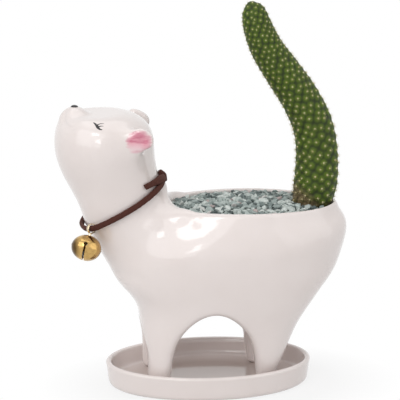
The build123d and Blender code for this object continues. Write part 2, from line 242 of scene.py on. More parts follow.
class Graph:
    """A material and short ways to add nodes to it."""

    def __init__(self, name: str) -> None:
        """Starts a material with its shader."""
        self.material = bpy.data.materials.new(name)
        self.material.use_nodes = True
        self.nodes = self.material.node_tree.nodes
        self.links = self.material.node_tree.links
        self.shader = self.nodes["Principled BSDF"]

    def add(self, kind: str, **settings: object) -> bpy.types.Node:
        """Adds a node and gives it its settings."""
        node = self.nodes.new(kind)
        for key, value in settings.items():
            setattr(node, key, value)
        return node

    def feed(self, node: bpy.types.Node, socket: int | str, value: object) -> None:
        """Links a socket to a node's input, or sets the input to a plain value."""
        if isinstance(value, Socket):
            self.links.new(value, node.inputs[socket])
        else:
            node.inputs[socket].default_value = value

    def place(self, middle: Triple = (0, 0, 0),
              turn: Triple = (0, 0, 0),
              size: Triple = (1000, 1000, 1000)) -> Socket:
        """Gives object coordinates from a middle, turned and divided by sizes in millimetres.

        Args:
            middle: The pattern's middle in millimetres.
            turn: The pattern's turn in degrees.
            size: The pattern's sizes in millimetres.

        Returns:
            The mapped coordinates.
        """
        mapping = self.add("ShaderNodeMapping", vector_type="TEXTURE")
        self.feed(mapping, "Vector", self.add("ShaderNodeTexCoord").outputs["Object"])
        mapping.inputs["Location"].default_value = [value * MM for value in middle]
        mapping.inputs["Rotation"].default_value = [math.radians(value) for value in turn]
        mapping.inputs["Scale"].default_value = [value * MM for value in size]
        return mapping.outputs["Vector"]

    def noise(self, grain: float, detail: float = 3.0, rough: float = 0.5,
              vector: Socket | None = None) -> Socket:
        """Gives noise whose grain is a size in millimetres, or in the vector's own units."""
        node = self.add("ShaderNodeTexNoise")
        self.feed(node, "Vector", vector or self.place(size=(grain, grain, grain)))
        node.inputs["Scale"].default_value = grain if vector else 1.0
        node.inputs["Detail"].default_value = detail
        node.inputs["Roughness"].default_value = rough
        return node.outputs["Fac"]

    def ramp(self, factor: Socket, *stops: tuple[float, object]) -> Socket:
        """Gives a colour ramp with stops of position and colour, or position and grey level."""
        node = self.add("ShaderNodeValToRGB")
        self.feed(node, "Fac", factor)
        points = node.color_ramp.elements
        while len(points) < len(stops):
            points.new(0.5)
        for point, (position, tone) in zip(points, stops):
            point.position = position
            point.color = tone if isinstance(tone, tuple) else (tone, tone, tone, 1)
        return node.outputs["Color"]

    def mix(self, factor: object, first: object, second: object) -> Socket:
        """Mixes two colours by a factor."""
        node = self.add("ShaderNodeMix", data_type="RGBA")
        self.feed(node, 0, factor)
        self.feed(node, 6, first)
        self.feed(node, 7, second)
        return node.outputs[2]

    def math(self, operation: str, first: object, second: object = 0.0) -> Socket:
        """Gives the result of a sum on one or two values."""
        node = self.add("ShaderNodeMath", operation=operation, use_clamp=True)
        self.feed(node, 0, first)
        self.feed(node, 1, second)
        return node.outputs[0]

    def spot(self, middle: Triple, radii: Triple,
             turn: Triple = (0, 0, 0)) -> Socket:
        """Gives 1 at the middle of an ellipsoid in millimetres, falling to 0 at its skin."""
        gradient = self.add("ShaderNodeTexGradient", gradient_type="SPHERICAL")
        self.feed(gradient, "Vector", self.place(middle, turn, radii))
        return gradient.outputs["Fac"]

    def bump(self, height: Socket, strength: float, depth: float) -> None:
        """Roughens the shader's surface by a height field of a depth in millimetres."""
        node = self.add("ShaderNodeBump")
        node.inputs["Strength"].default_value = strength
        node.inputs["Distance"].default_value = depth * MM
        self.feed(node, "Height", height)
        self.feed(self.shader, "Normal", node.outputs["Normal"])

    def set(self, **values: object) -> None:
        """Sets or links the shader's inputs, named with underscores for spaces."""
        for key, value in values.items():
            self.feed(self.shader, key.replace("_", " "), value)


@dataclass(frozen=True)
class Finish:
    """A material that is made by adding its own nodes to a graph."""

    name: str

    def paint(self, graph: Graph) -> None:
        """Adds the finish's nodes to a new material's graph."""
        raise NotImplementedError

    def material(self) -> bpy.types.Material:
        """Makes the material.

        Returns:
            The finish, ready to put on a piece.
        """
        graph = Graph(self.name)
        self.paint(graph)
        return graph.material


def coat(piece: Piece, finish: Finish) -> None:
    """Takes a piece's materials off and puts a finish on it."""
    piece.data.materials.clear()
    piece.data.materials.append(finish.material())


@dataclass(frozen=True)
class PaintSpot:
    """An ellipsoid round a middle, in millimetres: where a brushed spot of glaze colour, painted
    shade and painted reflections are laid.
    """

    middle: Triple
    radii: Triple
    turn: Triple = (0, 0, 0)


@dataclass(frozen=True)
class Glaze(Finish):
    """Warm white glossy glaze, with a bare foot, painted spots where the piece has them and painted
    shade spots where it is given them.
    """

    tone: Colour = colour(234, 225, 222)
    shade: Colour = colour(226, 215, 211)
    bare_below: float = 0.25
    blushes: tuple[PaintSpot, ...] = ()
    painted_shades: tuple[PaintSpot, ...] = ()

    def paint(self, graph: Graph) -> None:
        """Adds the nodes."""
        skin = graph.mix(graph.noise(22, 3), self.shade, self.tone)
        specks = graph.ramp(graph.noise(0.9, 2), (0.70, 0.0), (0.76, 0.35))
        skin = graph.mix(specks, skin, colour(214, 203, 190))
        for blush in self.blushes:
            skin = self.brushed(graph, skin, blush)
        # Painted shade: each spot greys the glaze where a shadow falls on it.
        for shade_spot in self.painted_shades:
            deep = graph.ramp(graph.spot(shade_spot.middle, shade_spot.radii), (0.02, 0.0), (0.42, 0.9))
            skin = graph.mix(deep, skin, colour(186, 171, 164))
        foot = graph.add("ShaderNodeSeparateXYZ")
        graph.feed(foot, 0, graph.place(size=(1, 1, 1)))
        bare = graph.math("LESS_THAN", foot.outputs["Z"], self.bare_below)
        skin = graph.mix(bare, skin, colour(214, 205, 190))
        gloss = graph.ramp(graph.noise(6, 2), (0.3, 0.07), (0.7, 0.12))
        graph.set(Base_Color=skin, Roughness=graph.mix(bare, gloss, (0.8, 0.8, 0.8, 1)))
        graph.set(IOR=1.52, Coat_Weight=0.35, Coat_Roughness=0.03)
        graph.bump(graph.noise(9, 2), 0.12, 0.15)

    @staticmethod
    def brushed(graph: Graph, skin: Socket, blush: PaintSpot) -> Socket:
        """Lays a pink brushed spot over the glaze's colour.

        Args:
            graph: The material's graph.
            skin: The colour below.
            blush: The spot's place and size.

        Returns:
            The colour with the spot on it.
        """
        spot = graph.spot(blush.middle, blush.radii, blush.turn)
        streaks = graph.noise(1.0, 2, vector=graph.place(blush.middle, blush.turn, (6.0, 6.0, 1.7)))
        edge = graph.math("MULTIPLY", streaks, 0.36)
        worn = graph.math("SUBTRACT", spot, edge)
        mask = graph.ramp(worn, (0.0, 0.0), (0.14, 0.7), (0.34, 1.0))
        deep = graph.ramp(streaks, (0.35, colour(205, 118, 140)), (0.62, colour(228, 160, 174)))
        pale = graph.ramp(streaks, (0.35, colour(228, 172, 184)), (0.62, colour(238, 205, 210)))
        across, side, height = blush.middle
        low = graph.spot((across - 1.5, side, height - 7.5), (9.0, 9.0, 9.0), blush.turn)
        pink = graph.mix(graph.ramp(low, (0.1, 0.0), (0.45, 1.0)), deep, pale)
        return graph.mix(mask, skin, pink)


@dataclass(frozen=True)
class Suede(Finish):
    """Dark brown suede with a short nap."""

    def paint(self, graph: Graph) -> None:
        """Adds the nodes."""
        nap = graph.noise(0.45, 4, 0.7)
        graph.set(Base_Color=graph.mix(
            graph.noise(2.5, 3),
            graph.ramp(nap, (0.3, colour(46, 17, 11)), (0.7, colour(92, 44, 30))),
            colour(66, 28, 18)), Roughness=0.92)
        graph.set(Sheen_Weight=0.2, Sheen_Roughness=0.5, Sheen_Tint=colour(130, 92, 76))
        graph.bump(nap, 0.6, 0.25)


@dataclass(frozen=True)
class GoldPlate(Finish):
    """Polished gold plate with fine wear and a painted dark reflection on its left."""

    tone: Colour = colour(202, 166, 104)
    painted_dark_reflection: PaintSpot = PaintSpot((-70.5, -21.0, 77.5), (7.0, 9.0, 9.0))

    def paint(self, graph: Graph) -> None:
        """Adds the nodes."""
        wear = graph.noise(1.8, 4, 0.6)
        skin = graph.mix(graph.ramp(wear, (0.45, 0.0), (0.8, 0.45)), self.tone, colour(92, 68, 36))
        # Painted reflection: the bell's left is darkened as if it mirrored a dark surround.
        painted_dark_reflection = graph.spot(self.painted_dark_reflection.middle, self.painted_dark_reflection.radii)
        skin = graph.mix(graph.ramp(painted_dark_reflection, (0.15, 0.0), (0.5, 0.85)), skin, colour(58, 40, 20))
        graph.set(Metallic=1.0, Base_Color=skin)
        graph.set(Roughness=graph.ramp(wear, (0.3, 0.10), (0.8, 0.26)))
        graph.bump(graph.noise(0.9, 2), 0.06, 0.10)


@dataclass(frozen=True)
class SteelBall(Finish):
    """Dull steel with a brushed look."""

    def paint(self, graph: Graph) -> None:
        """Adds the nodes."""
        wear = graph.noise(0.5, 3)
        graph.set(Metallic=1.0, Base_Color=graph.ramp(wear, (0.3, colour(120, 120, 122)),
                                                     (0.7, colour(172, 172, 174))))
        graph.set(Roughness=graph.ramp(wear, (0.3, 0.25), (0.7, 0.4)))


@dataclass(frozen=True)
class Stone(Finish):
    """Grey-green slate, tinted chip by chip where the piece carries a tint attribute; the dark kind
    is near-black, as painted shade between the chips.
    """

    dark: bool = False

    def paint(self, graph: Graph) -> None:
        """Adds the nodes."""
        grain = graph.noise(0.7, 4, 0.65)
        # The dark kind is painted shade: the bed shows only in the shadowed gaps between the chips.
        if self.dark:
            skin = graph.ramp(grain, (0.3, colour(20, 24, 25)), (0.75, colour(48, 54, 55)))
        else:
            tint = graph.add("ShaderNodeAttribute", attribute_name="tint").outputs["Fac"]
            base = graph.ramp(tint, (0.0, colour(78, 88, 88)), (0.25, colour(134, 146, 144)),
                              (0.60, colour(180, 191, 187)), (0.95, colour(222, 228, 224)),
                              (0.99, colour(190, 172, 170)))
            skin = graph.mix(graph.ramp(grain, (0.35, 0.0), (0.85, 0.4)), base, colour(82, 91, 91))
        graph.set(Base_Color=skin, Roughness=0.82)
        graph.bump(grain, 0.5, 0.2)


@dataclass(frozen=True)
class Soil(Finish):
    """Dark crumbly potting soil."""

    def paint(self, graph: Graph) -> None:
        """Adds the nodes."""
        crumb = graph.noise(1.6, 5, 0.7)
        earth = graph.ramp(crumb, (0.3, colour(28, 20, 15)), (0.7, colour(78, 58, 42)))
        graph.set(Base_Color=earth, Roughness=0.95)
        graph.bump(crumb, 0.9, 0.8)


@dataclass(frozen=True)
class CactusSkin(Finish):
    """Green cactus skin: painted shade in the valleys, painted light on the bumps and a corky brown
    foot.
    """

    def paint(self, graph: Graph) -> None:
        """Adds the nodes."""
        bump = graph.add("ShaderNodeAttribute", attribute_name="crown").outputs["Fac"]
        # Painted shade and light: the valleys are darkened and the bump tops lightened, as light
        # falls on them.
        skin = graph.ramp(bump, (0.0, colour(17, 26, 3)), (0.42, colour(52, 70, 9)),
                          (1.0, colour(96, 118, 26)))
        skin = graph.mix(graph.ramp(graph.noise(9, 3), (0.4, 0.0), (0.75, 0.4)), skin,
                         colour(50, 58, 18))
        cork = graph.add("ShaderNodeAttribute", attribute_name="cork").outputs["Fac"]
        bark = graph.ramp(graph.noise(1.3, 4), (0.35, colour(56, 42, 28)),
                          (0.7, colour(132, 112, 84)))
        graph.set(Base_Color=graph.mix(cork, skin, bark), Roughness=0.6,
                  Specular_IOR_Level=0.3)
        graph.bump(graph.noise(0.8, 3), 0.25, 0.15)


@dataclass(frozen=True)
class Felt(Finish):
    """Cream wool or straw-coloured spines of a cactus."""

    low: Colour = colour(206, 188, 136)
    high: Colour = colour(238, 226, 186)

    def paint(self, graph: Graph) -> None:
        """Adds the nodes."""
        graph.set(Base_Color=graph.ramp(graph.noise(1.5, 3), (0.35, self.low), (0.65, self.high)),
                  Roughness=0.85)


@dataclass(frozen=True)
class InkLine(Finish):
    """Black underglaze ink."""

    def paint(self, graph: Graph) -> None:
        """Adds the nodes."""
        graph.set(Base_Color=graph.ramp(graph.noise(0.6, 2), (0.3, colour(12, 10, 10)),
                                        (0.75, colour(30, 26, 27))), Roughness=0.35)


@dataclass(frozen=True)
class Paper(Finish):
    """Plain pale studio paper that the camera sees fade to white away from the object."""

    tone: Colour = colour(222, 222, 222)
    clear: float = 0.80
    reach: Triple = (92.0, 66.0, 60.0)

    def paint(self, graph: Graph) -> None:
        """Adds the nodes."""
        graph.set(Base_Color=graph.mix(graph.noise(300, 2), self.tone, colour(218, 218, 218)),
                  Roughness=0.9)
        path = graph.add("ShaderNodeLightPath")
        seen = graph.math("ADD", path.outputs["Is Camera Ray"], path.outputs["Is Glossy Ray"])
        seen = graph.math("ADD", seen, path.outputs["Is Transmission Ray"])
        near = graph.spot((6, -4, 0), self.reach)
        share = graph.ramp(near, (0.0, 1.0), (0.4, self.clear))
        white = graph.add("ShaderNodeEmission")
        blend = graph.add("ShaderNodeMixShader")
        graph.feed(blend, 0, graph.math("MULTIPLY", seen, share))
        graph.feed(blend, 1, graph.shader.outputs[0])
        graph.feed(blend, 2, white.outputs[0])
        graph.feed(graph.nodes["Material Output"], "Surface", blend.outputs[0])


@dataclass
class Studio:
    """The camera at the photograph's angle, the floor, the sky and the softboxes."""

    azimuth: float = -7.0
    height_angle: float = 13.5
    distance: float = 900.0
    focal_pixels: float = 1809.0
    frame_pixels: float = 400.0
    target: Triple = (-4.25, 0.0, 94.5)
    sky: float = 0.47
    aim: Triple = (0.0, 0.0, 0.08)
    lamps: tuple[tuple[str, Triple, tuple[float, float], float], ...] = (
        ("key_panel", (-0.95, -1.0, 0.95), (2.0, 1.7), 13.0),
        ("window_left", (-0.43, -0.76, 1.02), (0.36, 0.26), 1.1),
        ("window_front", (-0.36, -1.06, 0.56), (0.22, 0.26), 0.65),
        ("side_panel", (0.95, -0.55, 0.55), (1.2, 1.2), 2.6),
        ("top_panel", (0.1, 0.25, 1.1), (1.2, 1.0), 2.6))

    def back(self) -> Vector:
        """The direction from the object to the camera."""
        side, rise = math.radians(self.azimuth), math.radians(self.height_angle)
        return Vector((math.sin(side) * math.cos(rise), -math.cos(side) * math.cos(rise),
                       math.sin(rise)))

    def eye(self) -> Vector:
        """The camera's place in metres."""
        return (Vector(self.target) + self.back() * self.distance) * MM

    def ray(self, across: float, down: float) -> Vector:
        """The direction from the camera through a pixel of the photograph."""
        side = math.radians(self.azimuth)
        right = Vector((math.cos(side), math.sin(side), 0))
        forward = -self.back()
        up = right.cross(forward)
        half = self.frame_pixels / 2
        way = forward * self.focal_pixels + right * (across - half) - up * (down - half)
        return way.normalized()

    def set_camera(self) -> None:
        """Adds the camera."""
        bpy.ops.object.camera_add(
            location=self.eye(),
            rotation=(math.radians(90 - self.height_angle), 0, math.radians(self.azimuth)))
        camera = bpy.context.active_object
        camera.name = "studio_camera"
        camera.data.sensor_width = 36
        camera.data.lens = 36 * self.focal_pixels / self.frame_pixels
        camera.data.clip_start = 0.01
        camera.data.clip_end = 20
        bpy.context.scene.camera = camera

    def softbox(self, name: str, place: Triple, size: tuple[float, float], power: float) -> None:
        """Hangs a soft rectangular lamp that faces the aim.

        Args:
            name: The lamp's name.
            place: Its middle in metres.
            size: Its width and height in metres.
            power: Its power in watts.
        """
        bpy.ops.object.light_add(type="AREA", location=place)
        lamp = bpy.context.active_object
        lamp.name = name
        lamp.data.shape = "RECTANGLE"
        lamp.data.size, lamp.data.size_y = size
        lamp.data.energy = power
        run = Vector(self.aim) - Vector(place)
        lamp.rotation_euler = run.to_track_quat("-Z", "Y").to_euler()

    def set_sky(self) -> None:
        """Lights all sides softly and shows white behind the object."""
        world = bpy.data.worlds.new("studio_sky")
        bpy.context.scene.world = world
        world.use_nodes = True
        nodes, links = world.node_tree.nodes, world.node_tree.links
        background = nodes["Background"]
        background.inputs["Color"].default_value = (1, 1, 1, 1)
        path = nodes.new("ShaderNodeLightPath")
        seen = path.outputs["Is Camera Ray"]
        for kind in ("Is Transmission Ray", "Is Glossy Ray"):
            either = nodes.new("ShaderNodeMath")
            either.operation = "MAXIMUM"
            links.new(seen, either.inputs[0])
            links.new(path.outputs[kind], either.inputs[1])
            seen = either.outputs[0]
        level = nodes.new("ShaderNodeMapRange")
        level.inputs["To Min"].default_value = self.sky
        level.inputs["To Max"].default_value = 1.0
        links.new(seen, level.inputs["Value"])
        links.new(level.outputs["Result"], background.inputs["Strength"])

    def set_floor(self) -> None:
        """Lays the pale floor."""
        floor = primitive(bpy.ops.mesh.primitive_plane_add, "studio_floor", size=6.0,
                          location=(0, 0, 0))
        coat(floor, Paper("studio_paper"))

    def build(self) -> None:
        """Sets up the whole studio."""
        self.set_camera()
        self.set_sky()
        self.set_floor()
        for lamp in self.lamps:
            self.softbox(*lamp)
        bpy.context.scene.view_settings.view_transform = "Standard"
        LOG.info("studio set")


@dataclass
class CatBody:
    """The glazed casting: basin, legs, neck, head and ears, with its painted face."""

    studio: Studio
    voxel: float = 1.0
    floor: float = 3.5
    melt_rounds: int = 260
    soft_rounds: int = 16
    melts: tuple[tuple[float, float, float, float], ...] = (
        (-56, 0, 74, 16), (-52, 0, 66, 14), (-46, 22, 76, 18), (-36, 26, 84, 19),
        (-26, 22, 92, 18), (-22, 28, 84, 15), (-18, 17, 96, 13), (-16, 9, 98, 10),
        (-12, 0, 98, 9), (-34, 21, 114, 15), (-34, 18, 121, 9), (-43, 25, 128, 9),
        (-43, 24, 136, 8), (-43, 24, 121, 8), (-36, 25, 122, 7))
    melt_edge: float = 1.6
    flares: tuple[tuple[float, ...], ...] = (
        (-23, 12.5, 91.0, 7.5, 7.5, 7.0), (-15.5, 20.5, 89.0, 8.0, 6.5, 6.6),
        (-30, 18.5, 88.0, 8.0, 6.5, 6.0))
    chest: tuple[tuple[float, float], tuple[float, float]] = ((60.0, -49.2), (84.5, -62.4))
    chest_round: float = 0.026
    chest_left: float = 0.04
    foot_reach: float = 0.45
    foot_gap: float = 0.02
    rim: float = 92.5
    rim_start: float = 72.0
    rim_rise: float = 1.2
    rim_pinch: float = 0.10
    neck_end: float = -30.0
    neck_fade: float = 18.0
    lid: tuple[tuple[float, float], ...] = (
        (93.6, 122.6), (95.4, 124.0), (96.9, 125.8), (98.0, 127.8), (99.6, 129.3), (102.2, 129.8))
    lashes: tuple[tuple[tuple[float, float], ...], ...] = (
        ((96.6, 125.2), (100.0, 123.9), (104.0, 123.5)),
        ((97.8, 127.0), (100.6, 126.1), (103.6, 126.2)))
    lid_widths: Triple = (0.28, 0.80, 0.22)
    lash_widths: Triple = (0.36, 0.27, 0.07)
    ink_base: float = 0.02
    ink_height: float = 0.09
    crease: tuple[tuple[float, float], ...] = (
        (64.6, 112.6), (63.3, 117.0), (63.4, 121.5), (65.2, 125.4), (68.5, 128.2), (72.5, 129.0))
    crease_depth: float = 0.75
    crease_reach: float = 1.5
    face_end: float = -50.0
    face_low: float = 115.0
    nose: Triple = (-65.9, 0.0, 143.0)
    nose_half: Triple = (1.7, 2.0, 0.9)
    mesh: Piece | None = None

    def melt_weight(self, point: Vector) -> float:
        """How strongly the casting is smoothed at a point in metres."""
        spot = Vector((point.x / MM, abs(point.y) / MM, point.z / MM))
        best = 0.0
        for across, side, height, reach in self.melts:
            away = (spot - Vector((across, side, height))).length
            best = max(best, smooth_step(self.melt_edge * (1 - away / reach)))
        return best

    def trim_chest(self, cat: Piece) -> None:
        """Draws the chest back to the straight slope from the throat to the legs."""
        (low, low_front), (high, high_front) = self.chest
        for vertex in cat.data.vertices:
            across, side, height = vertex.co / MM
            share = (height - low) / (high - low)
            if not 0 < share < 1:
                continue
            front = low_front + (high_front - low_front) * share + self.chest_round * side ** 2
            if across < front:
                vertex.co.x = (front - self.chest_left * (front - across)) * MM

    def draw_in(self, point: Vector) -> Vector:
        """Rolls the basin's rim a little inwards and up, but not the neck.

        Args:
            point: A point of the casting in metres.

        Returns:
            Its new place.
        """
        high = smooth_step((point.z / MM - self.rim_start) / (self.rim - self.rim_start))
        aft = smooth_step((point.x / MM - self.neck_end) / self.neck_fade)
        share = high * aft
        return Vector((point.x, point.y * (1 - self.rim_pinch * share),
                       point.z + self.rim_rise * MM * share))

    def cast(self) -> Piece:
        """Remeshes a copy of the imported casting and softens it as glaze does."""
        cat = merged_copy("planter_body", "cat_body")
        lumps = [cat]
        for across, side, height, *half in self.flares:
            for way in Side:
                lump = primitive(bpy.ops.mesh.primitive_uv_sphere_add, "flare", segments=24,
                                 ring_count=16, radius=MM)
                spot = Matrix.Translation(Vector((across, way.value * side, height)) * MM)
                lump.data.transform(spot @ Matrix.Diagonal((*half, 1)))
                lumps.append(lump)
        cat = joined(lumps, "cat_body")
        apply_modifier(cat, "REMESH", mode="VOXEL", voxel_size=self.voxel * MM, adaptivity=0.0)
        self.trim_chest(cat)
        apply_modifier(cat, "REMESH", mode="VOXEL", voxel_size=self.voxel * MM, adaptivity=0.0)
        group = cat.vertex_groups.new(name="melt")
        for vertex in cat.data.vertices:
            weight = self.melt_weight(vertex.co)
            if weight > 0:
                group.add([vertex.index], weight, "REPLACE")
        apply_modifier(cat, "SMOOTH", factor=0.5, iterations=self.melt_rounds, vertex_group="melt")
        apply_modifier(cat, "SMOOTH", factor=0.5, iterations=self.soft_rounds)
        for vertex in cat.data.vertices:
            vertex.co = self.draw_in(vertex.co)
            if vertex.co.z < (self.floor + self.foot_reach) * MM:
                vertex.co.z = (self.floor + self.foot_gap) * MM
        cat.vertex_groups.clear()
        coat(cat, self.glaze())
        pick(cat)
        bpy.ops.object.shade_smooth()
        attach(cat, Rider.PLANTER.value)
        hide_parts("planter_body")
        LOG.info("cat_body cast with %d faces", len(cat.data.polygons))
        return cat

    def glaze(self) -> Glaze:
        """The casting's glaze with its painted ears."""
        ears = tuple(
            PaintSpot((-35.8 + side.value * 0.9, side.value * 27.0, 129.7), (8.3, 5.6, 8.5))
            for side in Side)
        return Glaze("white_glaze", bare_below=self.floor + 0.25, blushes=ears)

    def skin(self) -> BVHTree:
        """The casting's surface as it is now."""
        return BVHTree.FromObject(self.mesh, bpy.context.evaluated_depsgraph_get())

    def on_skin(self, tree: BVHTree, across: float, down: float,
                side: Side) -> tuple[Vector, Vector]:
        """Finds where a pixel of the photograph lies on the casting.

        Args:
            tree: The casting's surface.
            across: The pixel's place across.
            down: The pixel's place down.
            side: The side of the face; the far one is the near one mirrored.

        Returns:
            The point and the surface normal there.
        """
        point, normal, _, _ = tree.ray_cast(self.studio.eye(), self.studio.ray(across, down))
        if side is Side.FAR:
            start = Vector((point.x, 0.2, point.z))
            point, normal, _, _ = tree.ray_cast(start, Vector((0, -1, 0)))
        return point, normal

    def stroke(self, tree: BVHTree, name: str, path: Iterable[tuple[float, float]], side: Side,
               widths: Triple) -> Piece:
        """Paints one tapered stroke as a thin raised line of glaze ink.

        Args:
            tree: The casting's surface.
            name: The stroke's name.
            path: Its pixels in the photograph.
            side: The side of the face.
            widths: Its half width in millimetres at its start, middle and end.

        Returns:
            The stroke.
        """
        corners = [self.on_skin(tree, across, down, side) for across, down in path]
        count = 12
        middle: list[Vector] = []
        outs: list[Vector] = []
        for step in range(count):
            share = step / (count - 1) * (len(corners) - 1)
            first = min(int(share), len(corners) - 2)
            rest = share - first
            point = corners[first][0].lerp(corners[first + 1][0], rest)
            near, out, _, _ = tree.find_nearest(point)
            middle.append(near)
            outs.append(out)

        def place(ring: int, turn: float) -> Vector:
            run = (middle[min(ring + 1, count - 1)] - middle[max(ring - 1, 0)]).normalized()
            out = outs[ring]
            wide = run.cross(out).normalized()
            share = ring / (count - 1)
            start, mid, end = widths
            if share < 0.5:
                half = start + (mid - start) * 2 * share
            else:
                half = mid + (end - mid) * (2 * share - 1)
            return (middle[ring] + wide * (math.cos(turn) * half * MM)
                    + out * ((self.ink_base + self.ink_height * math.sin(turn)) * MM))

        line = ringed(name, 8, count, place)
        close_ends(line, 8)
        return line

    def press_crease(self) -> None:
        """Presses the soft line under the muzzle into the glaze on both sides."""
        tree = self.skin()
        path: list[Vector] = []
        for side in Side:
            spots = [self.on_skin(tree, across, down, side)[0] for across, down in self.crease]
            for start, end in zip(spots[:-1], spots[1:]):
                path.extend(start.lerp(end, step / 6) for step in range(6))
        line = np.array([tuple(point) for point in path]) / MM
        for vertex in self.mesh.data.vertices:
            spot = np.array(vertex.co) / MM
            if spot[0] > self.face_end or spot[2] < self.face_low:
                continue
            away = float(np.min(np.linalg.norm(line - spot, axis=1)))
            if away < 3 * self.crease_reach:
                press = self.crease_depth * math.exp(-(away / self.crease_reach) ** 2)
                vertex.co -= vertex.normal * press * MM

    def paint_face(self) -> None:
        """Paints the closed eye with its lashes on both sides."""
        tree = self.skin()
        for side in Side:
            tag = side.name.lower()
            parts = [self.stroke(tree, f"lid_{tag}", self.lid, side, self.lid_widths)]
            for index, lash in enumerate(self.lashes):
                parts.append(self.stroke(tree, f"lash_{tag}_{index}", lash, side,
                                         self.lash_widths))
            eye = joined(parts, f"closed_eye_{tag}")
            coat(eye, InkLine("eye_ink"))
            settle(eye)
            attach(eye, Rider.PLANTER.value)
            LOG.info("%s painted", eye.name)

    def dab_nose(self) -> None:
        """Sets the black dab of the nose on top of the muzzle."""
        rings = 11

        def place(ring: int, turn: float) -> Vector:
            rise = math.pi * (ring / (rings - 1) - 0.5)
            wave = 1 + 0.08 * math.cos(2 * turn + 0.6)
            spread = math.cos(rise) * wave
            shift = Vector((self.nose_half[0] * spread * math.cos(turn),
                            self.nose_half[1] * spread * math.sin(turn),
                            self.nose_half[2] * math.sin(rise)))
            return (Vector(self.nose) + shift) * MM

        nose = ringed("nose_dab", 20, rings, place)
        coat(nose, InkLine("nose_ink"))
        settle(nose, 60)
        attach(nose, Rider.PLANTER.value)
        LOG.info("nose_dab: %d faces", len(nose.data.polygons))

    def build(self) -> None:
        """Makes the casting and its face."""
        self.mesh = self.cast()
        self.press_crease()
        self.paint_face()
        self.dab_nose()


@dataclass
class Saucer:
    """The oval dish with its flared wall and rounded lip, in millimetres."""

    length: float = 104.2
    width: float = 68.8
    height: float = 12.5
    wall: float = 3.0
    floor: float = 3.5
    flare: float = 3.2
    corner: float = 2.6
    inner_corner: float = 2.6
    sides: int = 128
    # Painted shade on the dish's inner floor, where the cat's shadow lies.
    painted_shades: tuple[PaintSpot, ...] = (PaintSpot((0.0, 0.0, 3.5), (50.0, 33.0, 8.0)),)

    def profile(self) -> list[tuple[float | None, float]]:
        """The dish's section: inset from the rim's ellipse, none on the middle, and height."""
        lean = self.flare / 2 / self.height
        half = self.wall / 2
        points: list[tuple[float | None, float]] = [(None, 0.0)]
        for step in range(7):
            turn = math.radians(90 * step / 6)
            inset = self.flare / 2 + self.corner * (1 - math.sin(turn))
            rise = self.corner * (1 - math.cos(turn))
            points.append((inset - lean * rise, rise))
        for rise in (self.corner + 1.5, self.corner + 3.5, self.height - half):
            points.append(((self.height - rise) * lean, rise))
        for step in range(1, 9):
            turn = math.pi * step / 9
            points.append((half - half * math.cos(turn),
                           self.height - half + half * math.sin(turn)))
        points.append((self.wall + lean, self.height - half - 1.0))
        low = self.floor + self.inner_corner
        inner = self.wall + (self.height - low) * lean
        points.append((inner, low))
        for step in range(1, 6):
            turn = math.radians(90 * step / 5)
            points.append((inner + self.inner_corner * (1 - math.cos(turn)),
                           low - self.inner_corner * math.sin(turn)))
        points.append((None, self.floor))
        return points

    def build(self) -> None:
        """Models the dish from its section."""
        profile = self.profile()

        def place(ring: int, turn: float) -> Vector:
            inset, rise = profile[ring]
            if inset is None:
                half = (self.length - self.width) / 2
                return Vector((half * math.cos(turn) * MM, 0, rise * MM))
            across = (self.length / 2 - inset) * math.cos(turn)
            side = (self.width / 2 - inset) * math.sin(turn)
            return Vector((across * MM, side * MM, rise * MM))

        dish = ringed("oval_saucer", self.sides, len(profile), place)
        coat(dish, Glaze("saucer_glaze", painted_shades=self.painted_shades))
        settle(dish, 50)
        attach(dish, Rider.SAUCER.value)
        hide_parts("saucer")
        LOG.info("oval_saucer made, %d faces", len(dish.data.polygons))


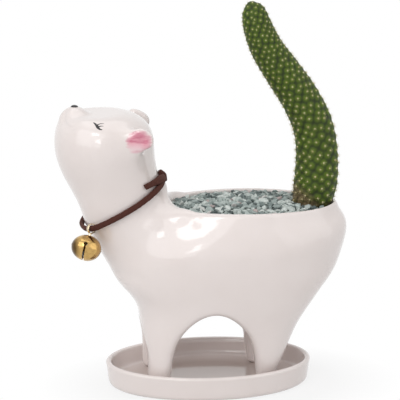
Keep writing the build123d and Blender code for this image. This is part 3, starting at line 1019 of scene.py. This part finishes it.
@dataclass
class GravelBed:
    """Slate chips over their bed, in millimetres."""

    middle: float = 20.18
    half_length: float = 40.6
    half_width: float = 25.8
    soil: float = 81.7
    level: float = 91.6
    crown: float = 1.9
    spacing: float = 2.9
    stem: tuple[float, float] = (51.2, 9.4)
    shift: float = 0.7
    layer_drop: float = 1.3
    chip_length: tuple[float, float] = (1.8, 3.3)
    chip_width: tuple[float, float] = (0.5, 0.9)
    chip_thickness: tuple[float, float] = (0.30, 0.6)
    chip_tilt: float = 0.46
    kinds: int = 9
    seed: int = 7

    def chip(self, index: int, rng: random.Random) -> Piece:
        """Breaks one chip out of a ball by flat cuts.

        Args:
            index: The chip's number.
            rng: The source of its chances.

        Returns:
            The chip, of a unit size.
        """
        chip = primitive(bpy.ops.mesh.primitive_ico_sphere_add, f"chip_{index}", subdivisions=1,
                         radius=1.0)
        cuts = []
        for _ in range(7):
            normal = Vector((rng.gauss(0, 1), rng.gauss(0, 1), rng.gauss(0, 1))).normalized()
            cuts.append((normal, normal * rng.uniform(0.42, 0.72)))
        bpy.ops.object.mode_set(mode="EDIT")
        for normal, spot in cuts:
            bpy.ops.mesh.select_all(action="SELECT")
            bpy.ops.mesh.bisect(plane_co=spot, plane_no=normal, use_fill=True, clear_outer=True)
        bpy.ops.mesh.select_all(action="SELECT")
        bpy.ops.mesh.dissolve_limited(angle_limit=math.radians(6))
        bpy.ops.mesh.quads_convert_to_tris()
        bpy.ops.object.mode_set(mode="OBJECT")
        return chip

    def spots(self, rng: random.Random) -> list[Triple]:
        """Places for the chips, in two layers: across, along and height."""
        found = []
        for layer, gap in ((0, self.spacing), (1, self.spacing * 1.25)):
            rows = int(self.half_width / gap * 1.2) + 1
            columns = int(self.half_length / gap) + 2
            for row in range(-rows, rows + 1):
                for column in range(-columns, columns + 1):
                    across = (column + 0.5 * (row % 2)) * gap + rng.uniform(-self.shift, self.shift)
                    side = row * gap * 0.87 + rng.uniform(-self.shift, self.shift)
                    reach = math.hypot(across / self.half_length, side / self.half_width)
                    stem = math.hypot(across + self.middle - self.stem[0], side)
                    if reach > 0.97 or stem < self.stem[1] + 1.0:
                        continue
                    rise = self.level + self.crown * (1 - reach ** 2) + rng.uniform(-0.45, 0.55)
                    found.append((across + self.middle, side, rise - self.layer_drop * layer))
        return found

    def bed(self) -> Piece:
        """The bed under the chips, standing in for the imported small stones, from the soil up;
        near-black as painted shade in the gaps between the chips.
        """
        rows = ((0.0, self.soil), (1.0, self.soil), (1.005, self.level - 4.0),
                (0.995, self.level - 0.9), (0.80, self.level - 0.3), (0.45, self.level + 0.2),
                (0.0, self.level + 0.4))

        def place(ring: int, turn: float) -> Vector:
            share, rise = rows[ring]
            spot = Vector((self.middle + self.half_length * share * math.cos(turn),
                           self.half_width * share * math.sin(turn), rise))
            return (spot + noise.noise_vector(spot * 0.4) * (0.3 if share else 0.0)) * MM

        bed = ringed("shaded_slate_bed", 72, len(rows), place)
        # Near-black: painted shade for the gaps between the chips.
        coat(bed, Stone("shaded_slate_bed", dark=True))
        return bed

    def build(self) -> None:
        """Scatters the chips over their bed and dresses the soil."""
        rng = random.Random(self.seed)
        kinds = [self.chip(index, rng) for index in range(self.kinds)]
        slate = Stone("slate_chips").material()
        chips = []
        for place in self.spots(rng):
            kind = rng.choice(kinds)
            chip = kind.copy()
            chip.data = kind.data.copy()
            bpy.context.scene.collection.objects.link(chip)
            size = rng.uniform(*self.chip_length)
            scale = Matrix.Diagonal((size, size * rng.uniform(*self.chip_width),
                                     size * rng.uniform(*self.chip_thickness), 1))
            turn = (Matrix.Rotation(rng.uniform(0, math.tau), 4, "Z")
                    @ Matrix.Rotation(rng.gauss(0, self.chip_tilt), 4, "X")
                    @ Matrix.Rotation(rng.gauss(0, self.chip_tilt), 4, "Y"))
            chip.data.transform(Matrix.Translation(Vector(place) * MM)
                                @ Matrix.Scale(MM, 4) @ turn @ scale)
            tint = chip.data.attributes.new("tint", "FLOAT", "POINT")
            tint.data.foreach_set("value", [rng.random()] * len(chip.data.vertices))
            chip.data.materials.append(slate)
            chips.append(chip)
        for kind in kinds:
            bpy.data.objects.remove(kind)
        heap = joined([*chips, self.bed()], "slate_gravel")
        settle(heap, 18)
        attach(heap, Rider.PLANTER.value)
        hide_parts("gravel")
        LOG.info("slate_gravel: %d chips, %d faces", len(chips), len(heap.data.polygons))
        coat(frame["nodes"]["potting_soil"], Soil("potting_soil"))


@dataclass
class Cactus:
    """The column cactus that stands as the tail, in millimetres."""

    seat: float = 51.185
    foot: float = 90.91
    height: float = 103.5
    thickness: float = 20.8
    rows: tuple[Triple, ...] = (
        (0.000, -0.050, 0.880), (0.000, 0.000, 0.880), (0.018, 0.060, 1.010),
        (0.030, 0.144, 1.045), (0.030, 0.268, 1.000), (0.008, 0.391, 0.965),
        (-0.050, 0.515, 0.925), (-0.131, 0.637, 0.875), (-0.214, 0.759, 0.785),
        (-0.259, 0.861, 0.695), (-0.280, 0.935, 0.570), (-0.297, 0.990, 0.330))
    sides: int = 84
    rings: int = 210
    steps: int = 1200
    tip: float = 5.5
    bump: float = 0.62
    stray: float = 0.22
    seed: int = 11

    def centre(self, share: float) -> tuple[Vector, float]:
        """The stem's middle line and radius.

        Args:
            share: From 0 at the foot to 1 at the tip.

        Returns:
            The point and the radius, in millimetres.
        """
        place = share * (len(self.rows) - 1)
        first = min(int(place), len(self.rows) - 2)
        rest = place - first
        known = [self.rows[min(max(first + shift, 0), len(self.rows) - 1)]
                 for shift in (-1, 0, 1, 2)]
        mixed = []
        for before, start, end, after in zip(*known):
            mixed.append(0.5 * (2 * start + (end - before) * rest
                                + (2 * before - 5 * start + 4 * end - after) * rest ** 2
                                + (3 * start - before - 3 * end + after) * rest ** 3))
        point = Vector((self.seat + mixed[0] * self.height, 0, self.foot + mixed[1] * self.height))
        return point, mixed[2] * self.thickness / 2

    def axis_frames(self) -> tuple[list[Vector], list[Vector], list[float], list[float]]:
        """The middle line in even steps: points, directions, radii and lengths so far."""
        fine = [self.centre(step / self.steps) for step in range(self.steps + 1)]
        lengths = [0.0]
        for (point, _), (last, _) in zip(fine[1:], fine[:-1]):
            lengths.append(lengths[-1] + (point - last).length)
        total = lengths[-1]
        points, radii, marks = [], [], []
        for ring in range(self.rings):
            share = ring / (self.rings - 1)
            want = total * share
            index = min(int(np.searchsorted(lengths, want)), self.steps)
            points.append(fine[index][0])
            radii.append(fine[index][1])
            marks.append(want)
        runs = [(points[min(i + 1, self.rings - 1)] - points[max(i - 1, 0)]).normalized()
                for i in range(self.rings)]
        for i, mark in enumerate(marks):
            left = (total - mark) / self.tip
            if left < 1:
                radii[i] *= math.sqrt(max(1 - (1 - left) ** 2, 0))
        return points, runs, radii, marks

    def crowns(self, marks: list[float], radii: list[float]) -> list[Triple]:
        """The bumps' places as length up the stem, turn and spacing, in a spiral."""
        found = []
        length, turn = 2.0, 0.0
        golden = math.pi * (3 - math.sqrt(5))
        rng = random.Random(self.seed + 1)
        while length < marks[-1] - 0.4:
            share = length / marks[-1]
            radius = max(float(np.interp(length, marks, radii)), 1.2)
            gap = 4.35 - 1.55 * smooth_step((share - 0.25) / 0.7)
            along = length + rng.uniform(-self.stray, self.stray) * gap
            around = turn + rng.uniform(-self.stray, self.stray) * gap / radius
            found.append((along, around % math.tau, gap))
            length += 0.866 * gap * gap / (math.tau * radius)
            turn += golden
        return found

    def build(self) -> None:
        """Models the stem with its bumps, then its wool and spines."""
        points, runs, radii, marks = self.axis_frames()
        crowns = self.crowns(marks, radii)
        across_axis = Vector((0, 1, 0))

        def spot(length: float, turn: float) -> tuple[Vector, Vector]:
            point = Vector([float(np.interp(length, marks, [p[k] for p in points]))
                            for k in range(3)])
            ring = min(int(np.searchsorted(marks, length)), self.rings - 1)
            run = runs[ring]
            side = run.cross(across_axis).normalized()
            out = side * math.cos(turn) + across_axis * math.sin(turn)
            radius = float(np.interp(length, marks, radii))
            below, above = np.interp((length - 0.5, length + 0.5), marks, radii)
            normal = (out - run * float(above - below)).normalized()
            return point + out * radius, normal

        def place(ring: int, turn: float) -> Vector:
            side = runs[ring].cross(across_axis).normalized()
            out = side * math.cos(turn) + across_axis * math.sin(turn)
            return (points[ring] + out * radii[ring]) * MM

        stem = ringed("cactus_column", self.sides, self.rings, place)
        tops = [spot(length, turn) for length, turn, _ in crowns]
        heads = np.array([tuple(point) for point, _ in tops])
        gaps = np.array([gap for _, _, gap in crowns])
        corners = np.array([tuple(v.co / MM) for v in stem.data.vertices])
        normals = np.array([tuple(v.normal) for v in stem.data.vertices])
        away = np.empty(len(corners))
        second = np.empty(len(corners))
        local = np.empty(len(corners))
        for start in range(0, len(corners), 2000):
            part = corners[start:start + 2000]
            dist = np.linalg.norm(part[:, None, :] - heads[None], axis=2)
            order = np.argpartition(dist, 2, axis=1)[:, :2]
            two = np.take_along_axis(dist, order, axis=1)
            nearest = np.argmin(two, axis=1)
            rows = np.arange(len(part))
            away[start:start + 2000] = two[rows, nearest]
            second[start:start + 2000] = two[rows, 1 - nearest]
            local[start:start + 2000] = gaps[order[rows, nearest]]
        ridge = np.clip((second - away) / local, 0, 1)
        dome = 1 - np.clip(away / (0.62 * local), 0, 1) ** 2
        crown = np.clip(0.55 * dome + 0.45 * np.sqrt(ridge), 0, 1)
        moved = corners + normals * ((crown - 0.72) * self.bump * local / 4.0)[:, None]
        stem.data.vertices.foreach_set("co", (moved * MM).ravel())
        # The crown also drives the skin's painted shade in the valleys and painted light on the
        # bumps.
        stem.data.attributes.new("crown", "FLOAT", "POINT").data.foreach_set("value", crown)
        low = np.clip((98.5 - corners[:, 2] + 0.75 * (self.seat - corners[:, 0])) / 5.0, 0, 1)
        base = np.clip((94.0 - corners[:, 2]) / 3.0, 0, 1)
        stem.data.attributes.new("cork", "FLOAT", "POINT").data.foreach_set(
            "value", np.maximum(low * 0.8, base * 0.8))
        stem.data.update()
        coat(stem, CactusSkin("cactus_skin"))
        pick(stem)
        bpy.ops.object.shade_smooth()
        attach(stem, Rider.PLANTER.value)
        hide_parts("cactus_stem")
        LOG.info("cactus_column: %d bumps, %d faces", len(crowns), len(stem.data.polygons))
        self.dress(crowns, tops)

    def star(self) -> Piece:
        """Models one tuft of wool with its ring of spines, pointing up."""
        tuft = primitive(bpy.ops.mesh.primitive_ico_sphere_add, "tuft", subdivisions=1, radius=0.34)
        tuft.data.transform(Matrix.Diagonal((1, 1, 0.55, 1)))
        parts = [tuft]
        coat(tuft, Felt("areole_wool"))
        straw = Felt("spine_straw", colour(196, 178, 128), colour(232, 222, 186)).material()
        for index in range(7):
            spine = primitive(bpy.ops.mesh.primitive_cone_add, f"spine_{index}", vertices=3,
                              radius1=0.06, radius2=0.0, depth=1.6, end_fill_type="NOTHING",
                              location=(0, 0, 0.8))
            lean = Matrix.Rotation(math.radians(64 if index else 8), 4, "Y")
            around = Matrix.Rotation(math.tau * index / 6, 4, "Z")
            bpy.ops.object.transform_apply(location=True)
            spine.data.transform(Matrix.Translation((0, 0, 0.15)) @ around @ lean)
            spine.data.materials.append(straw)
            parts.append(spine)
        return joined(parts, "spine_star")

    def dress(self, crowns: list[Triple], tops: list[tuple[Vector, Vector]]) -> None:
        """Sets a tuft with spines on every bump.

        Args:
            crowns: The bumps' lengths, turns and spacings.
            tops: The bumps' points and normals.
        """
        star = self.star()
        rng = random.Random(self.seed)
        stars = []
        for (_, _, gap), (point, normal) in zip(crowns, tops):
            if point.z < self.foot + 1.5:
                continue
            copy = star.copy()
            copy.data = star.data.copy()
            bpy.context.scene.collection.objects.link(copy)
            turn = normal.to_track_quat("Z", "Y").to_matrix().to_4x4()
            size = gap / 4.0 * rng.uniform(0.85, 1.1)
            spin = Matrix.Rotation(rng.uniform(0, math.tau), 4, "Z")
            copy.data.transform(Matrix.Scale(MM, 4) @ Matrix.Translation(point + normal * 0.18)
                                @ turn @ spin @ Matrix.Scale(size, 4))
            stars.append(copy)
        bpy.data.objects.remove(star)
        wool = joined(stars, "cactus_areoles")
        settle(wool, 60)
        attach(wool, Rider.PLANTER.value)
        LOG.info("cactus_areoles: %d tufts, %d faces", len(stars), len(wool.data.polygons))


@dataclass
class Collar:
    """The suede lace round the neck, its bulb at the nape and its loose end, in millimetres."""

    throat: tuple[float, float] = (-62.06, 84.23)
    nape: tuple[float, float] = (-23.998, 105.344)
    width: float = 44.0
    lace_width: float = 2.9
    lace_thickness: float = 1.8
    gap: float = 0.35
    lift: float = 2.0
    lift_middle: float = 46.0
    lift_spread: float = 22.0
    end_lift: float = 5.2
    end_start: float = 186.0
    end_sweep: float = 59.0
    end_swell: float = 0.45
    bulb_half: Triple = (3.3, 2.0, 2.7)

    def frame(self) -> tuple[Vector, Vector, Vector, float]:
        """The collar plane's middle, its run from throat to nape, its normal and its length."""
        start = Vector((self.throat[0], 0, self.throat[1]))
        end = Vector((self.nape[0], 0, self.nape[1]))
        run = (end - start).normalized()
        return (start + end) / 2, run, Vector((-run.z, 0, run.x)), (end - start).length

    def line(self, turn: float, outward: float) -> tuple[Vector, Vector]:
        """A point over the neck and its outward direction.

        Args:
            turn: Degrees from the throat to the near side.
            outward: The distance off the neck's skin.

        Returns:
            The point in millimetres and the direction.
        """
        middle, run, _, length = self.frame()
        near = math.exp(-(((turn + 180) % 360 - 180 - self.lift_middle) / self.lift_spread) ** 2)
        angle = math.radians(turn)
        half, wide = length / 2, self.width / 2
        flat = Vector((-math.cos(angle) / half, -math.sin(angle) / wide, 0)).normalized()
        out = run * flat.x + Vector((0, 1, 0)) * flat.y
        seat = run * (-math.cos(angle) * half) + Vector((0, 1, 0)) * (-math.sin(angle) * wide)
        return middle + seat + out * (self.gap + self.lift * near + outward), out

    def section(self, turn: float) -> tuple[float, float]:
        """The lace's rounded section: across its width and across its thickness."""
        wide = math.copysign(abs(math.cos(turn)) ** 0.62, math.cos(turn)) * self.lace_width / 2
        thick = math.copysign(abs(math.sin(turn)) ** 0.75, math.sin(turn)) * self.lace_thickness / 2
        return wide, thick

    def fuzz(self, point: Vector) -> Vector:
        """Roughens the suede's surface a little."""
        return point + noise.noise_vector(point * 0.9) * 0.12

    def strap(self) -> Piece:
        """The lace's ring round the neck."""
        _, _, normal, _ = self.frame()
        rings = 121

        def place(ring: int, turn: float) -> Vector:
            degrees = 360 * (ring % (rings - 1)) / (rings - 1)
            middle, out = self.line(degrees, self.lace_thickness / 2)
            wide, thick = self.section(turn)
            return self.fuzz(middle + normal * wide + out * thick) * MM

        return ringed("lace_ring", 16, rings, place)

    def loose_end(self) -> Piece:
        """The cut end that lies over the lace."""
        _, _, normal, _ = self.frame()
        rings = 26

        def place(ring: int, turn: float) -> Vector:
            share = ring / (rings - 1)
            degrees = self.end_start - self.end_sweep * share
            point, out = self.line(degrees, self.lace_thickness * (1.15 - 0.35 * share))
            wide, thick = self.section(turn)
            swell = 1 + self.end_swell * math.exp(-((share - 0.45) / 0.22) ** 2)
            lifted = point + normal * (self.end_lift * share) + out * thick + normal * wide * swell
            return self.fuzz(lifted) * MM

        end = ringed("lace_end", 16, rings, place)
        close_ends(end, 16)
        return end

    def bulb(self) -> Piece:
        """The knot at the nape, a folded and rounded bight."""
        middle, out = self.line(180, 1.5)
        _, _, normal, _ = self.frame()
        middle = middle + normal * 1.3
        high, thick, wide = self.bulb_half
        rings = 17

        def place(ring: int, turn: float) -> Vector:
            rise = math.pi * (ring / (rings - 1) - 0.5)
            spread = math.cos(rise) ** 0.8
            wave = 1 + 0.06 * math.cos(3 * turn + 4 * rise)
            point = (middle + normal * (high * math.sin(rise))
                     + out * (thick * spread * math.cos(turn) * wave)
                     + Vector((0, 1, 0)) * (wide * spread * math.sin(turn) * wave))
            return self.fuzz(point) * MM

        return ringed("lace_bulb", 20, rings, place)

    def build(self) -> None:
        """Models the lace and dresses it in suede."""
        lace = joined([self.strap(), self.loose_end(), self.bulb()], "suede_lace")
        coat(lace, Suede("brown_suede"))
        settle(lace, 60)
        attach(lace, Rider.PLANTER.value)
        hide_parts("collar_lace")
        LOG.info("suede_lace: %d faces", len(lace.data.polygons))


@dataclass
class JingleBell:
    """The slotted bell with its eye and pellet, in millimetres."""

    middle: Triple = (-62.271, -19.2845, 76.8802)
    eye: Triple = (-59.4457, -16.453, 85.6802)
    swing: Triple = (0.5625, -0.8225, 0.084)
    diameter: float = 14.8
    height: float = 12.6
    metal: float = 0.7
    slot: float = 1.0
    hole: float = 2.0
    slot_top: float = 1.5
    loop_inner: float = 2.085
    loop_metal: float = 0.5
    strip: float = 1.6
    rib: float = 0.022
    rib_width: float = 0.45
    shrink: float = 0.012

    def matrix(self, origin: Triple) -> Matrix:
        """The turn and place of a part modelled upright at zero, in metres."""
        up = (Vector(self.eye) - Vector(self.middle)).normalized()
        run = Vector(self.swing)
        run = (run - up * run.dot(up)).normalized()
        turn = Matrix((run, up.cross(run), up)).transposed().to_4x4()
        return Matrix.Translation(Vector(origin) * MM) @ Matrix.Scale(MM, 4) @ turn

    def shell(self) -> Piece:
        """The bell's shell with two crossing slots and their round ends."""
        shell = primitive(bpy.ops.mesh.primitive_uv_sphere_add, "bell_shell_gold", segments=64,
                          ring_count=40, radius=self.diameter / 2)
        shell.data.transform(Matrix.Diagonal((1, 1, self.height / self.diameter, 1)))
        for vertex in shell.data.vertices:
            band = math.exp(-(vertex.co.z / self.rib_width) ** 2)
            grow = 1 + self.rib * band - self.shrink
            vertex.co.x *= grow
            vertex.co.y *= grow
        apply_modifier(shell, "SOLIDIFY", thickness=self.metal, offset=-1)
        for index in range(2):
            spin = Matrix.Rotation(math.radians(45 + 90 * index), 4, "Z")
            cutter = primitive(bpy.ops.mesh.primitive_cube_add, "slot_cutter", size=1.0)
            cutter.data.transform(
                spin @ Matrix.Translation((0, 0, self.slot_top - self.height / 2))
                @ Matrix.Diagonal((2 * self.diameter, self.slot, self.height, 1)))
            self.cut(shell, cutter)
            drill = primitive(bpy.ops.mesh.primitive_cylinder_add, "hole_drill", vertices=24,
                              radius=self.hole / 2, depth=2 * self.diameter)
            drill.data.transform(spin @ Matrix.Translation((0, 0, self.slot_top))
                                 @ Matrix.Rotation(math.pi / 2, 4, "Y"))
            self.cut(shell, drill)
        apply_modifier(shell, "BEVEL", width=0.12, segments=2, limit_method="ANGLE",
                       angle_limit=math.radians(50))
        shell.data.transform(self.matrix(self.middle))
        return shell

    @staticmethod
    def cut(shell: Piece, cutter: Piece) -> None:
        """Cuts a tool out of the shell and throws the tool away."""
        apply_modifier(shell, "BOOLEAN", operation="DIFFERENCE", object=cutter, solver="EXACT")
        bpy.data.objects.remove(cutter)

    def loop(self) -> Piece:
        """The strip loop above the crown with its neck."""
        ring = primitive(bpy.ops.mesh.primitive_torus_add, "bell_loop", major_segments=48,
                         minor_segments=12, major_radius=self.loop_inner + self.loop_metal / 2,
                         minor_radius=self.loop_metal / 2)
        ring.data.transform(Matrix.Rotation(math.pi / 2, 4, "Y")
                            @ Matrix.Diagonal((1, 1, self.strip / self.loop_metal, 1)))
        ring.data.transform(self.matrix(self.eye))
        rise = (Vector(self.eye) - Vector(self.middle)).length
        foot = rise - self.height / 2 + 0.4
        neck = primitive(bpy.ops.mesh.primitive_cylinder_add, "bell_neck", vertices=24, radius=0.75,
                         depth=foot - self.loop_inner)
        neck.data.transform(Matrix.Translation((0, 0, -(foot + self.loop_inner) / 2 - 0.1)))
        apply_modifier(neck, "BEVEL", width=0.15, segments=2, limit_method="ANGLE")
        neck.data.transform(self.matrix(self.eye))
        return joined([ring, neck], "bell_loop_gold")

    def build(self) -> None:
        """Models the bell and its loop, and dresses the imported pellet in steel."""
        shell = self.shell()
        coat(shell, GoldPlate("gold_plate"))
        settle(shell, 35)
        loop = self.loop()
        # The loop takes the same painted dark reflection on the bell's left.
        coat(loop, GoldPlate("gold_strip", colour(222, 206, 176)))
        settle(loop, 40)
        for piece, node, slot in ((shell, "bell_shell", "gold_metal"),
                                  (loop, "bell_eye", "gold_wire")):
            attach(piece, Rider.BELL.value)
            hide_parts(node)
            LOG.info("%s: %d faces", piece.name, len(piece.data.polygons))
        coat(frame["nodes"]["bell_pellet"], SteelBall("steel_ball"))


def main() -> None:
    """Builds the planter's pieces in order and reports each one."""
    logging.basicConfig(level=logging.INFO, format="%(name)s: %(message)s")
    # Blender seeds its noise vectors from the clock, so without this no two runs are alike.
    noise.seed_set(NOISE_SEED)
    studio = Studio()
    studio.build()
    for maker in (CatBody(studio), Saucer(), GravelBed(), Cactus(), Collar(), JingleBell()):
        maker.build()
        LOG.info("%s ready", type(maker).__name__)


if __name__ == "__main__":
    main()
